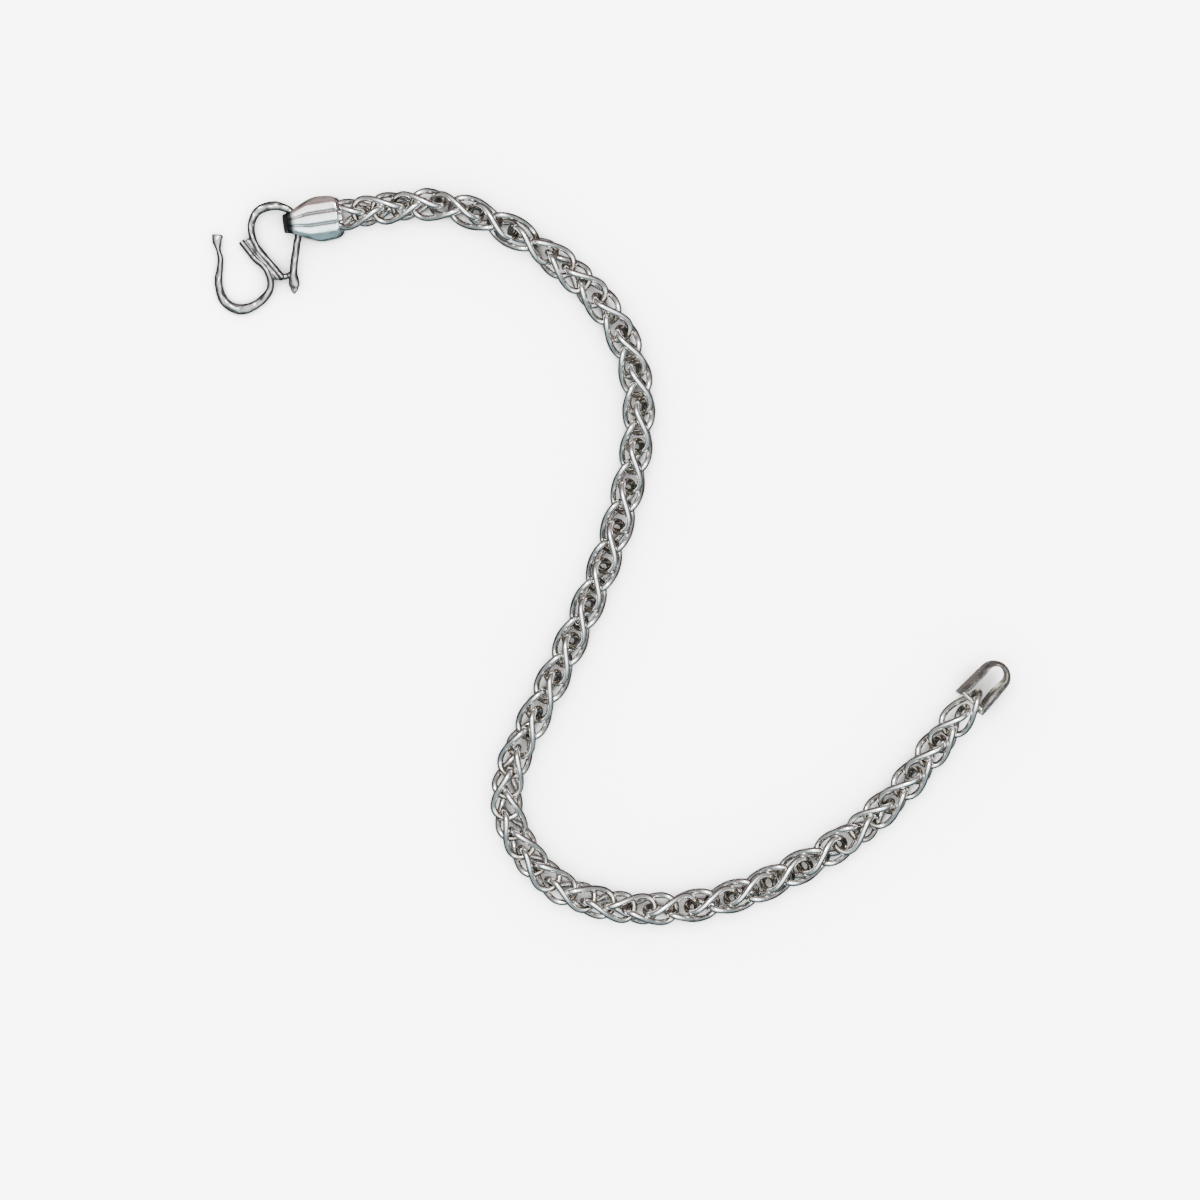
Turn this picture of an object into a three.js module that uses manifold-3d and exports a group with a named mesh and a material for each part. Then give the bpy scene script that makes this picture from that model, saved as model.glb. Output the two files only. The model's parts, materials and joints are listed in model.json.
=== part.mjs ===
// Spiga (wheat) chain bracelet with an S-hook, lying open on a flat surface in a loose S.
// Millimetres, +Z up. The bracelet rests on z = 0 and is centred on the origin.
//
// The chain is two strands of oval wire links. Every link is twisted a quarter turn, one
// strand to the left and the other to the right, and the strands are half a pitch apart, so
// each link is threaded through its neighbours in both strands. A folded silver cap closes
// each end: the fold is an eye, and a rivet inside the cap holds the last links.

import * as THREE from 'three';
import { mergeVertices } from 'three/addons/utils/BufferGeometryUtils.js';
import Module from 'manifold-3d';

const wasm = await Module();
wasm.setup();

// ---- driving dimensions -------------------------------------------------------------

// links
const LINKS_PER_STRAND = 35;
const LINK_WIRE = 0.68; // diameter of the link wire
const LINK_HALF_WIDTH = 1.84; // axis of a link to the centre of its wire
const HOOK_OVERLAP = 0.62; // between the wire centres of two links that hook together
const BEND_DEPTH = 1.65; // length of each rounded end of a link
const FLAT_END = 0.65; // stretch at each end that is left untwisted
const LINK_SIDES = 5; // sides of a link's wire
const BEND_STEPS = 4; // steps round each end bend
const LEG_STEPS = 3; // steps along each leg

// end caps
const CAP_LENGTH = 7.5; // outside of the fold to the mouth
const CAP_SHEET = 0.4; // thickness of the silver sheet
const FOLD_RADIUS = 1.9; // middle of the sheet round the fold
const MOUTH_HALF_HEIGHT = 2.4; // middle of the sheet at the mouth, above the cap's axis
const FOLD_STEPS = 6;
const LEG_STATIONS = [1, 0.82, 0.6, 0.3]; // parts of a leaf, from the mouth to the fold
const CHAIN_IN_HOOK_CAP = 2.8; // how far the chain reaches in past the mouth
const CHAIN_IN_RING_CAP = 1.6;
const RIVET_RADIUS = 0.3;
const RIVET_LENGTH = 4.5; // its ends lie inside the two leaves
const RIVET_SIDES = 8;
const RIVET_FROM_CHAIN_END = 1.02; // rivet centre to the first bend of the chain
const RING_CAP_ROLL = 80; // degrees that the ring end's cap is rolled onto its side
const RING_CAP_LIFT = 0.75; // its axis above that of the lying chain

// outline of a cap from the fold to the mouth: part of its length, half width, dome
const CAP_SECTIONS = [
  { along: 0.0, halfWidth: 1.08, dome: 0.06 },
  { along: 0.2, halfWidth: 1.3, dome: 0.14 },
  { along: 0.42, halfWidth: 2.3, dome: 0.42 },
  { along: 0.6, halfWidth: 2.8, dome: 0.62 },
  { along: 0.82, halfWidth: 2.7, dome: 0.58 },
  { along: 1.0, halfWidth: 2.3, dome: 0.42 },
];
// creases across a cap: part of the half width, part of the dome that the sheet has dropped
const CAP_CREASES = [
  { across: -1, drop: 1 },
  { across: -0.64, drop: 0.34 },
  { across: -0.22, drop: 0 },
  { across: 0.22, drop: 0 },
  { across: 0.64, drop: 0.34 },
  { across: 1, drop: 1 },
];

// S-hook, in its own plane: the origin is the middle of the stretch that runs through the
// eye. x and y place the centre of the wire, wide is its width in the plane of the hook and
// thick is across that plane.
const HOOK_WIRE = 0.94;
const HOOK_SIDES = 8;
const LOWER_WIRE = [
  { x: -10.2, y: -1.5, wide: 1.36, thick: 0.6 }, // flared free end
  { x: -10.2, y: -2.4, wide: 1.14, thick: 0.66 },
  { x: -10.0, y: -3.7, wide: 0.66, thick: 0.78 },
  { x: -9.75, y: -5.0, wide: 0.8, thick: 0.88 },
  { x: -10.05, y: -7.8, wide: 0.94, thick: 0.92 },
  { x: -9.2, y: -10.3, wide: 1.12, thick: 0.84 },
  { x: -7.1, y: -11.3, wide: 1.32, thick: 0.76 }, // hammered flat at the bottom
  { x: -4.75, y: -10.4, wide: 1.16, thick: 0.84 },
  { x: -3.25, y: -8.5, wide: 1.0, thick: 0.92 },
  { x: -3.75, y: -6.1, wide: 0.9, thick: 0.94 },
  { x: -5.25, y: -4.7, wide: 0.87, thick: 0.94 },
  { x: -7.1, y: -2.35, wide: 0.87, thick: 0.94 }, // blunt cut end
];
const UPPER_WIRE = [
  { x: -1.6, y: -7.15, wide: 0.86, thick: 0.9 }, // soldered end
  { x: -3.95, y: -4.45, wide: 0.86, thick: 0.94 },
  { x: -5.35, y: -2.55, wide: 0.88, thick: 0.94 },
  { x: -5.75, y: -0.4, wide: 1.0, thick: 0.92 },
  { x: -4.95, y: 1.5, wide: 1.16, thick: 0.82 },
  { x: -3.0, y: 2.25, wide: 1.28, thick: 0.76 }, // hammered flat at the top
  { x: -1.25, y: 1.92, wide: 1.04, thick: 0.86 },
  { x: -0.45, y: 1.3, wide: 0.94, thick: 0.92 }, // into the eye
  { x: 0.0, y: 0.0, wide: 0.92, thick: 0.92 },
  { x: 0.45, y: -1.3, wide: 0.94, thick: 0.92 }, // out of the eye
  { x: 0.2, y: -3.1, wide: 1.02, thick: 0.94 },
  { x: -0.2, y: -6.2, wide: 1.06, thick: 0.94 },
  { x: -0.1, y: -7.9, wide: 1.42, thick: 0.9 }, // swelling above the point
  { x: -0.08, y: -8.7, wide: 0.86, thick: 0.6 },
  { x: -0.08, y: -9.35, wide: 0.22, thick: 0.26 }, // pointed tip
];
const STRIP = { from: [-6.3, -2.15], to: [-2.2, -7.3], wide: 0.74, thick: 0.6 };
const SOLDER = { from: [-2.1, -7.2], to: [-0.3, -6.7], wide: 0.95, thick: 0.66 };
const HOOK_STEPS_PER_ROW = 3;
const HOOK_REACH = 11.9; // eye axis to the far side of the hook, where it lies on the floor
const EYE_FROM_FOLD = 1.5; // outside of the fold to the wire in the eye
const EYE_BELOW_FOLD_CENTRE = 0.5; // the wire lies low in the fold

// ---- how the bracelet lies ----------------------------------------------------------

const LYING_HEIGHT = 2.24; // axis of the chain above the surface
// where the axis of the chain runs; lift raises it towards the rolled ring end cap
const ROUTE = [
  { x: -38.1, y: 44.0, lift: 0.12 },
  { x: -32.3, y: 44.9, lift: 0.36 },
  { x: -24.5, y: 46.3, lift: 0 },
  { x: -19.4, y: 45.5, lift: 0 },
  { x: -14.8, y: 43.6, lift: 0 },
  { x: -5.9, y: 37.9, lift: 0 },
  { x: 1.1, y: 30.1, lift: 0 },
  { x: 4.0, y: 20.1, lift: 0 },
  { x: 2.6, y: 9.8, lift: 0 },
  { x: -0.4, y: -0.3, lift: 0 },
  { x: -4.5, y: -10.0, lift: 0 },
  { x: -9.0, y: -19.4, lift: 0 },
  { x: -13.3, y: -28.2, lift: 0 },
  { x: -13.7, y: -33.7, lift: 0 },
  { x: -11.3, y: -38.8, lift: 0 },
  { x: -7.7, y: -42.7, lift: 0 },
  { x: -3.3, y: -45.1, lift: 0 },
  { x: 7.0, y: -46.3, lift: 0 },
  { x: 17.3, y: -44.2, lift: 0 },
  { x: 26.7, y: -39.7, lift: 0 },
  { x: 35.2, y: -33.7, lift: 0 },
  { x: 41.8, y: -26.0, lift: 0.15 },
  { x: 45.0, y: -21.5, lift: 0.4 },
  { x: 47.55, y: -18.5, lift: RING_CAP_LIFT },
];
// how the chain is rolled about its axis: distance along it, degrees
const ROLLS = [
  { at: 0, roll: -88 },
  { at: 8, roll: -80 },
  { at: 16, roll: -64 },
  { at: 20, roll: -56 },
  { at: 24, roll: -44 },
  { at: 28, roll: -34 },
  { at: 32, roll: -8 },
  { at: 35, roll: 6 },
  { at: 40, roll: 22 },
  { at: 46, roll: 29 },
  { at: 56, roll: 30 },
  { at: 64, roll: 35 },
  { at: 70, roll: 41 },
  { at: 77, roll: 48 },
  { at: 84, roll: 42 },
  { at: 90, roll: 36 },
  { at: 96, roll: 28 },
  { at: 102, roll: 22 },
  { at: 108, roll: 4 },
  { at: 118, roll: 0 },
  { at: 124, roll: -10 },
  { at: 130, roll: -10 },
  { at: 136, roll: 12 },
  { at: 142, roll: 30 },
  { at: 150, roll: 38 },
  { at: 158, roll: 53 },
  { at: 164, roll: 60 },
  { at: 168, roll: 84 },
  { at: 171, roll: 108 },
  { at: 176, roll: 113 },
  { at: 191, roll: 106 },
];
const HOOK_CAP_HEADING = -172; // degrees from +X to the way the hook end's cap points
const RING_CAP_HEADING = 47; // the same for the ring end's cap

const AXIS_DIVISIONS = 1200; // steps that the length along the chain is measured in
const SAME_POINT = 1e-5; // corners closer than this are one

const UP = new THREE.Vector3(0, 0, 1);
const silver = (color, roughness) =>
  new THREE.MeshStandardMaterial({ color, roughness, metalness: 1 });

// ---- meshes and solids --------------------------------------------------------------

// closed rings of points joined one to the next; a row that isn't closed gets end faces
function ringsGeometry(rings, closed, endFaces) {
  const sides = rings[0].length;
  const positions = rings.flat().flatMap((p) => [p.x, p.y, p.z]);
  const index = [];
  const spans = closed ? rings.length : rings.length - 1;
  for (let i = 0; i < spans; i += 1) {
    const here = i * sides;
    const next = ((i + 1) % rings.length) * sides;
    for (let j = 0; j < sides; j += 1) {
      const k = (j + 1) % sides;
      index.push(here + j, here + k, next + k, here + j, next + k, next + j);
    }
  }
  if (!closed) {
    const last = (rings.length - 1) * sides;
    for (const [a, b, c] of endFaces) {
      index.push(a, c, b, last + a, last + b, last + c);
    }
  }
  const geometry = new THREE.BufferGeometry();
  geometry.setAttribute('position', new THREE.Float32BufferAttribute(positions, 3));
  geometry.setIndex(index);
  return geometry;
}

function fanFaces(sides) {
  return Array.from({ length: sides - 2 }, (_, i) => [0, i + 1, i + 2]);
}

function toSolid(geometry) {
  const bare = geometry.clone();
  bare.deleteAttribute('normal');
  bare.deleteAttribute('uv');
  const merged = mergeVertices(bare, SAME_POINT);
  return new wasm.Manifold(new wasm.Mesh({
    numProp: 3,
    vertProperties: merged.attributes.position.array,
    triVerts: Uint32Array.from(merged.index.array),
  }));
}

function toGeometry(solid) {
  const { vertProperties, triVerts, numProp } = solid.getMesh();
  const geometry = new THREE.BufferGeometry();
  const positions = [];
  for (let i = 0; i < vertProperties.length; i += numProp) {
    positions.push(vertProperties[i], vertProperties[i + 1], vertProperties[i + 2]);
  }
  geometry.setAttribute('position', new THREE.Float32BufferAttribute(positions, 3));
  geometry.setIndex(Array.from(triVerts));
  return geometry;
}

function fuse(geometries) {
  return toGeometry(geometries.map(toSolid).reduce((all, solid) => all.add(solid)));
}

function interpolate(rows, key, at, value) {
  let i = 1;
  while (i < rows.length - 1 && rows[i][key] < at) i += 1;
  const low = rows[i - 1];
  const high = rows[i];
  const t = THREE.MathUtils.clamp((at - low[key]) / (high[key] - low[key]), 0, 1);
  return THREE.MathUtils.lerp(low[value], high[value], t);
}

// ---- links --------------------------------------------------------------------------

const chainAxis = new THREE.CatmullRomCurve3(
  ROUTE.map(({ x, y, lift }) => new THREE.Vector3(x, y, LYING_HEIGHT + lift)),
  false,
  'catmullrom',
);
chainAxis.arcLengthDivisions = AXIS_DIVISIONS;
const CHAIN_LENGTH = chainAxis.getLength();
const onAxis = (at) => chainAxis.getPointAt(THREE.MathUtils.clamp(at / CHAIN_LENGTH, 0, 1));

// one link to the next of the same strand; the other strand lies half a pitch further on
const LINK_PITCH = (CHAIN_LENGTH - HOOK_OVERLAP) / (LINKS_PER_STRAND + 0.5);
const LINK_LENGTH = LINK_PITCH + HOOK_OVERLAP; // between the centres of the end bends

// An oval of half width LINK_HALF_WIDTH whose ends are half ellipses, as points [across,
// along] with the direction that faces out of the oval. The ends get BEND_STEPS, the legs
// LEG_STEPS.
function ovalOutline() {
  const outline = [];
  const leg = LINK_LENGTH - 2 * BEND_DEPTH;
  for (const side of [1, -1]) {
    for (let i = 0; i < LEG_STEPS; i += 1) {
      const run = BEND_DEPTH + (leg * i) / LEG_STEPS;
      const along = side > 0 ? run : LINK_LENGTH - run;
      outline.push({ across: side * LINK_HALF_WIDTH, along, out: [side, 0] });
    }
    for (let i = 0; i < BEND_STEPS; i += 1) {
      const angle = (Math.PI * i) / BEND_STEPS;
      const centre = side > 0 ? LINK_LENGTH - BEND_DEPTH : BEND_DEPTH;
      outline.push({
        across: side * LINK_HALF_WIDTH * Math.cos(angle),
        along: centre + side * BEND_DEPTH * Math.sin(angle),
        out: [side * Math.cos(angle), side * Math.sin(angle)],
      });
    }
  }
  return outline;
}

// The link about its own axis, Z, its first end bend crossing the axis along X at z = 0. It
// is twisted a quarter turn between its flat ends; hand is +1 or -1.
function linkRings(hand) {
  const turned = ovalOutline().map(({ across, along, out }) => {
    const turn = THREE.MathUtils.smoothstep(along, FLAT_END, LINK_LENGTH - FLAT_END);
    const angle = (hand * turn * Math.PI) / 2;
    const spoke = new THREE.Vector3(Math.cos(angle), Math.sin(angle), 0);
    const point = spoke.clone().multiplyScalar(across).setZ(along);
    return { point, outward: spoke.clone().multiplyScalar(out[0]).setZ(out[1]) };
  });
  const radius = (LINK_WIRE / 2) * Math.sqrt(Math.PI / (LINK_SIDES * 0.5 *
    Math.sin((2 * Math.PI) / LINK_SIDES)));
  return turned.map(({ point, outward }, i) => {
    const before = turned[(i + turned.length - 1) % turned.length].point;
    const after = turned[(i + 1) % turned.length].point;
    const tangent = after.clone().sub(before).normalize();
    const out = outward.clone().addScaledVector(tangent, -outward.dot(tangent)).normalize();
    const aside = tangent.clone().cross(out);
    return Array.from({ length: LINK_SIDES }, (_, j) => {
      const angle = (2 * Math.PI * j) / LINK_SIDES;
      return point.clone()
        .addScaledVector(out, -radius * Math.cos(angle))
        .addScaledVector(aside, -radius * Math.sin(angle));
    });
  });
}

// A link is rigid, so it spans the chord between two points of the chain's axis.
function placedLink(rings, start) {
  const from = onAxis(start);
  const to = onAxis(start + LINK_LENGTH);
  const forward = to.clone().sub(from).normalize();
  const middle = from.add(to).multiplyScalar(0.5);
  const up = UP.clone().addScaledVector(forward, -UP.dot(forward)).normalize();
  const right = forward.clone().cross(up);
  const roll = interpolate(ROLLS, 'at', start + LINK_LENGTH / 2, 'roll');
  const place = new THREE.Matrix4().makeBasis(up, right, forward)
    .multiply(new THREE.Matrix4().makeRotationZ(THREE.MathUtils.degToRad(roll)))
    .setPosition(middle.addScaledVector(forward, -LINK_LENGTH / 2));
  return rings.map((ring) => ring.map((p) => p.clone().applyMatrix4(place)));
}

function strandGeometry(hand, firstStart) {
  const rings = linkRings(hand);
  const links = Array.from({ length: LINKS_PER_STRAND }, (_, k) => {
    const placed = placedLink(rings, firstStart + k * LINK_PITCH);
    return ringsGeometry(placed, true);
  });
  return fuse(links);
}

// ---- end caps -----------------------------------------------------------------------

// Side view of the folded sheet, from the upper mouth round the fold to the lower mouth:
// points [along, height] with the way out of the sheet. along is 0 outside the fold.
function capProfile() {
  const foldCentre = FOLD_RADIUS + CAP_SHEET / 2;
  const run = CAP_LENGTH - foldCentre;
  const rise = MOUTH_HALF_HEIGHT;
  const slope = Math.atan2(rise, run)
    - Math.asin(FOLD_RADIUS / Math.hypot(rise, run));
  const legLength = Math.sqrt(rise * rise + run * run - FOLD_RADIUS * FOLD_RADIUS);
  const start = Math.PI / 2 + slope;
  const profile = [];
  const addLeg = (part, angle, side) => profile.push({
    along: foldCentre + FOLD_RADIUS * Math.cos(angle) + part * legLength * Math.cos(slope),
    height: side * (FOLD_RADIUS * Math.sin(start) + part * legLength * Math.sin(slope)),
    out: [Math.cos(angle), Math.sin(angle)],
  });
  LEG_STATIONS.forEach((part) => addLeg(part, start, 1));
  for (let i = 0; i <= FOLD_STEPS; i += 1) {
    const angle = start + ((2 * Math.PI - 2 * start) * i) / FOLD_STEPS;
    profile.push({
      along: foldCentre + FOLD_RADIUS * Math.cos(angle),
      height: FOLD_RADIUS * Math.sin(angle),
      out: [Math.cos(angle), Math.sin(angle)],
    });
  }
  [...LEG_STATIONS].reverse().forEach((part) => addLeg(part, 2 * Math.PI - start, -1));
  return { profile, slope };
}

// A cap in its own frame: X from the outside of the fold to the mouth, Z its height.
function capGeometry(chainIn) {
  const { profile } = capProfile();
  const rings = profile.map(({ along, height, out }) => {
    const part = along / CAP_LENGTH;
    const halfWidth = interpolate(CAP_SECTIONS, 'along', part, 'halfWidth');
    const dome = interpolate(CAP_SECTIONS, 'along', part, 'dome');
    const sheet = (side) => CAP_CREASES.map(({ across, drop }) => {
      const offset = (side * CAP_SHEET) / 2 - drop * dome;
      return new THREE.Vector3(
        along + out[0] * offset,
        across * halfWidth,
        height + out[1] * offset,
      );
    });
    return [...sheet(1), ...sheet(-1).reverse()];
  });
  const columns = CAP_CREASES.length;
  const mouth = Array.from({ length: columns - 1 }, (_, j) => {
    const inner = 2 * columns - 1 - j;
    return [[j, j + 1, inner - 1], [j, inner - 1, inner]];
  }).flat();
  const rivetAt = CAP_LENGTH - chainIn + RIVET_FROM_CHAIN_END;
  const rivet = new THREE.CylinderGeometry(
    RIVET_RADIUS, RIVET_RADIUS, RIVET_LENGTH, RIVET_SIDES,
  );
  rivet.rotateX(Math.PI / 2);
  rivet.translate(rivetAt, 0, 0);
  return fuse([ringsGeometry(rings, false, mouth), rivet]);
}

// ---- S-hook -------------------------------------------------------------------------

// a wire through the rows' points, in the plane z = 0, with an oval section
function wireGeometry(rows) {
  const path = new THREE.CatmullRomCurve3(rows.map(({ x, y }) => new THREE.Vector3(x, y, 0)));
  const steps = (rows.length - 1) * HOOK_STEPS_PER_ROW;
  const rings = Array.from({ length: steps + 1 }, (_, i) => {
    const t = i / steps;
    const row = Math.min(Math.floor(t * (rows.length - 1)), rows.length - 2);
    const part = THREE.MathUtils.smoothstep(t * (rows.length - 1) - row, 0, 1);
    const wide = THREE.MathUtils.lerp(rows[row].wide, rows[row + 1].wide, part);
    const thick = THREE.MathUtils.lerp(rows[row].thick, rows[row + 1].thick, part);
    const centre = path.getPoint(t);
    const tangent = path.getTangent(t);
    const aside = UP.clone().cross(tangent);
    return Array.from({ length: HOOK_SIDES }, (_unused, j) => {
      const angle = (2 * Math.PI * (j + 0.5)) / HOOK_SIDES;
      return centre.clone()
        .addScaledVector(aside, (wide / 2) * Math.cos(angle))
        .addScaledVector(UP, (thick / 2) * Math.sin(angle));
    });
  });
  return ringsGeometry(rings, false, fanFaces(HOOK_SIDES));
}

function barGeometry({ from, to, wide, thick }) {
  const length = Math.hypot(to[0] - from[0], to[1] - from[1]);
  const bar = new THREE.BoxGeometry(length, wide, thick);
  bar.rotateZ(Math.atan2(to[1] - from[1], to[0] - from[0]));
  bar.translate((from[0] + to[0]) / 2, (from[1] + to[1]) / 2, 0);
  return bar;
}

function hookGeometry() {
  return fuse([
    wireGeometry(LOWER_WIRE),
    wireGeometry(UPPER_WIRE),
    barGeometry(STRIP),
    barGeometry(SOLDER),
  ]);
}

// ---- assembly -----------------------------------------------------------------------

const bracelet = new THREE.Group();

function addMesh(name, geometry, material, parent = bracelet) {
  const mesh = new THREE.Mesh(geometry, material);
  mesh.name = name;
  parent.add(mesh);
  return mesh;
}

addMesh('strand_a', strandGeometry(-1, LINK_PITCH / 2), silver(0xdcdddb, 0.16));
addMesh('strand_b', strandGeometry(1, 0), silver(0xd4d6d5, 0.16));

const capSlope = capProfile().slope;

// the hook end's cap lies on its lower sheet, so its fold dips to the surface
const hookCap = new THREE.Group();
const hookHeading = THREE.MathUtils.degToRad(HOOK_CAP_HEADING);
const chainStart = onAxis(0);
const hookCapReach = CAP_LENGTH - CHAIN_IN_HOOK_CAP;
const foldCentreHeight = FOLD_RADIUS + CAP_SHEET / 2;
hookCap.position.set(
  chainStart.x + hookCapReach * Math.cos(hookHeading),
  chainStart.y + hookCapReach * Math.sin(hookHeading),
  foldCentreHeight - foldCentreHeight * Math.sin(capSlope),
);
hookCap.rotation.set(0, -capSlope, hookHeading + Math.PI, 'ZYX');
addMesh('hook_cap', capGeometry(CHAIN_IN_HOOK_CAP), silver(0xe3e6e8, 0.1), hookCap);
bracelet.add(hookCap);

// the ring end's cap is rolled onto its side
const ringCap = new THREE.Group();
const ringHeading = THREE.MathUtils.degToRad(RING_CAP_HEADING);
const chainEnd = onAxis(CHAIN_LENGTH);
const ringCapReach = CAP_LENGTH - CHAIN_IN_RING_CAP;
ringCap.position.set(
  chainEnd.x + ringCapReach * Math.cos(ringHeading),
  chainEnd.y + ringCapReach * Math.sin(ringHeading),
  chainEnd.z,
);
ringCap.rotation.set(
  THREE.MathUtils.degToRad(RING_CAP_ROLL), 0, ringHeading + Math.PI, 'ZYX',
);
addMesh('ring_cap', capGeometry(CHAIN_IN_RING_CAP), silver(0xe3e6e8, 0.1), ringCap);
bracelet.add(ringCap);

// the S-hook is threaded through the fold and leans down to the surface
const hook = new THREE.Group();
const eye = new THREE.Vector3(EYE_FROM_FOLD, 0, -EYE_BELOW_FOLD_CENTRE)
  .applyEuler(hookCap.rotation)
  .add(hookCap.position);
hook.position.copy(eye);
const eyeWire = new THREE.Vector3(
  UPPER_WIRE[9].x - UPPER_WIRE[7].x, UPPER_WIRE[9].y - UPPER_WIRE[7].y, 0,
).normalize();
const lean = Math.asin((eye.z - HOOK_WIRE / 2) / HOOK_REACH);
hook.quaternion.setFromAxisAngle(eyeWire, lean);
addMesh('s_hook', hookGeometry(), silver(0xd9dbda, 0.14), hook);
bracelet.add(hook);

// centre the bracelet on the origin and set it down on z = 0
bracelet.updateMatrixWorld(true);
const box = new THREE.Box3().setFromObject(bracelet, true);
const centre = box.getCenter(new THREE.Vector3());
bracelet.position.set(-centre.x, -centre.y, -box.min.z);

export default bracelet;
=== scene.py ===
"""Looks of the spiga chain bracelet: two strands of round-wire links, two folded end
caps and a soldered S-hook, in silver, lying on a pale surface."""

import json
import math

import bmesh
import bpy
import numpy as np
from mathutils import Matrix, Vector


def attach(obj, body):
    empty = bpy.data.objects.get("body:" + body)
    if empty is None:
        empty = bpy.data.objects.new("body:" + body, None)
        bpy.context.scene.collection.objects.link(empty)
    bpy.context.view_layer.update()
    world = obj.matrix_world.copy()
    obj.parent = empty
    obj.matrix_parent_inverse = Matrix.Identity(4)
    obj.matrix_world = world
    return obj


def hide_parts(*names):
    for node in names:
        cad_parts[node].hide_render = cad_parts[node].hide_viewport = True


bl_info = {
    "name": "Spiga Chain Bracelet",
    "version": (1, 0, 0),
    "blender": (4, 5, 0),
    "location": "View3D > Sidebar > Bracelet",
    "description": "Builds a silver spiga chain bracelet with an S-hook clasp",
    "category": "Object",
}

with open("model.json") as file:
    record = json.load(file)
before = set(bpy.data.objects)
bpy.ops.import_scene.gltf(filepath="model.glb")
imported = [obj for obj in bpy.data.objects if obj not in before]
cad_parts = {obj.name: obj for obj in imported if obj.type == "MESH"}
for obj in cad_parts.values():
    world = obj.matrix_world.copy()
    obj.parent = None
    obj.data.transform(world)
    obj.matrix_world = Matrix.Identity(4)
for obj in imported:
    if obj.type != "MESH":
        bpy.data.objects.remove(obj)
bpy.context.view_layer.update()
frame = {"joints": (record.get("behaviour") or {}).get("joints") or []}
HINGE = frame["joints"][0]
MM = 0.001

# ---- how the chain lies, in millimetres: the same line as the solid strands ----------

ROUTE = [  # x, y, lift
    (-38.1, 44.0, 0.12),
    (-32.3, 44.9, 0.36),
    (-24.5, 46.3, 0.0),
    (-19.4, 45.5, 0.0),
    (-14.8, 43.6, 0.0),
    (-5.9, 37.9, 0.0),
    (1.1, 30.1, 0.0),
    (4.0, 20.1, 0.0),
    (2.6, 9.8, 0.0),
    (-0.4, -0.3, 0.0),
    (-4.5, -10.0, 0.0),
    (-9.0, -19.4, 0.0),
    (-13.3, -28.2, 0.0),
    (-13.7, -33.7, 0.0),
    (-11.3, -38.8, 0.0),
    (-7.7, -42.7, 0.0),
    (-3.3, -45.1, 0.0),
    (7.0, -46.3, 0.0),
    (17.3, -44.2, 0.0),
    (26.7, -39.7, 0.0),
    (35.2, -33.7, 0.0),
    (41.8, -26.0, 0.15),
    (45.0, -21.5, 0.4),
    (47.55, -18.5, 0.75),
]
ROLLS = [  # distance along the chain, roll in degrees
    (0, -88),
    (8, -80),
    (16, -64),
    (20, -56),
    (24, -44),
    (28, -34),
    (32, -8),
    (35, 6),
    (40, 22),
    (46, 29),
    (56, 30),
    (64, 35),
    (70, 41),
    (77, 48),
    (81, 47),
    (84, 42),
    (90, 36),
    (96, 28),
    (102, 22),
    (108, 4),
    (118, 0),
    (124, -10),
    (130, -10),
    (136, 12),
    (142, 30),
    (150, 38),
    (158, 53),
    (164, 60),
    (168, 84),
    (171, 108),
    (176, 113),
    (191, 106),
]
SLIDES = [  # distance along the chain, how far its links have slid from even spacing
    (0, 0.1),
    (8, -0.3),
    (16, -0.5),
    (20, -0.6),
    (25, -0.8),
    (30, -0.3),
    (36, 0.05),
    (42, 0.42),
    (48, 0.4),
    (52, 0.05),
    (58, -0.38),
    (64, -0.4),
    (72, -0.28),
    (80, -0.14),
    (90, -0.3),
    (102, -0.38),
    (110, 0.08),
    (118, 0.5),
    (126, 0.65),
    (136, 0.95),
    (144, 1.15),
    (150, 1.05),
    (158, 0.78),
    (164, 0.9),
    (170, 1.05),
    (176, 1.0),
    (182, 0.8),
    (191, 0.4),
]
STRAND_A_ROLL = -6  # degrees, against strand b
LYING_HEIGHT = 2.24  # of the chain's axis
LINKS_PER_STRAND = 35
SOLID_HOOK_OVERLAP = 0.62  # of the solid links, which sets the pitch
ROUTE_STEPS = 60  # between two places of the route

# ---- end caps and hook, in millimetres -----------------------------------------------

HOOK_CAP_HEADING = math.radians(-172)
RING_CAP_HEADING = math.radians(47)
RING_CAP_ROLL = math.radians(86)
RING_CAP_LIFT = 0.04
FOLD_FROM_CHAIN = {"hook": 4.7, "ring": 5.9}  # its outside, from the end of the chain
EYE_IN_CAP = (1.5, 0, -0.5)  # the hook's wire in the fold, in the cap's own frame
CAP_LENGTH = {"hook": 7.5, "ring": 6.9}  # outside of the fold to the mouth
HALF_SHEET = 0.2
FOLD_RADIUS = 1.9  # to the middle of the sheet
MOUTH_HALF_HEIGHT = {"hook": 2.4, "ring": 2.12}  # to the middle of the sheet
CURL_FROM_MIDDLE = 1.75
CURL_FURTHEST = 0.72  # part of the half width, where the sheet is narrow
CURL_POWER = 1.25
DOME_BEFORE_CURL = 0.12  # part of the dome
FLUTE_FROM_MIDDLE = 0.44  # part of the way to the curl
FLUTE_HALF_WIDTH = 0.23
FLUTE_STARTS = (0.04, 0.2)  # parts of the length between which the flutes deepen
PAINTED_FOLD_SHADE_ENDS = (0.16, 0.22)  # and between which the painted shade at the fold fades
EDGE_ROUNDING = 0.11
EDGE_ANGLE = math.radians(50)
LEG_STATIONS = 28
FOLD_STATIONS = 24
FLAT_COLUMNS = 22  # on each side of the middle
CURL_COLUMNS = 10
RIVET_FROM_FOLD = {"hook": 5.72, "ring": 6.4}
RIVET_END = 0.05  # below the middle of the sheet
RIVET_NECK = 0.35
RIVET_HEAD = 1.5  # in radii of the rivet
RIVET_SIDES = 20
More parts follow.
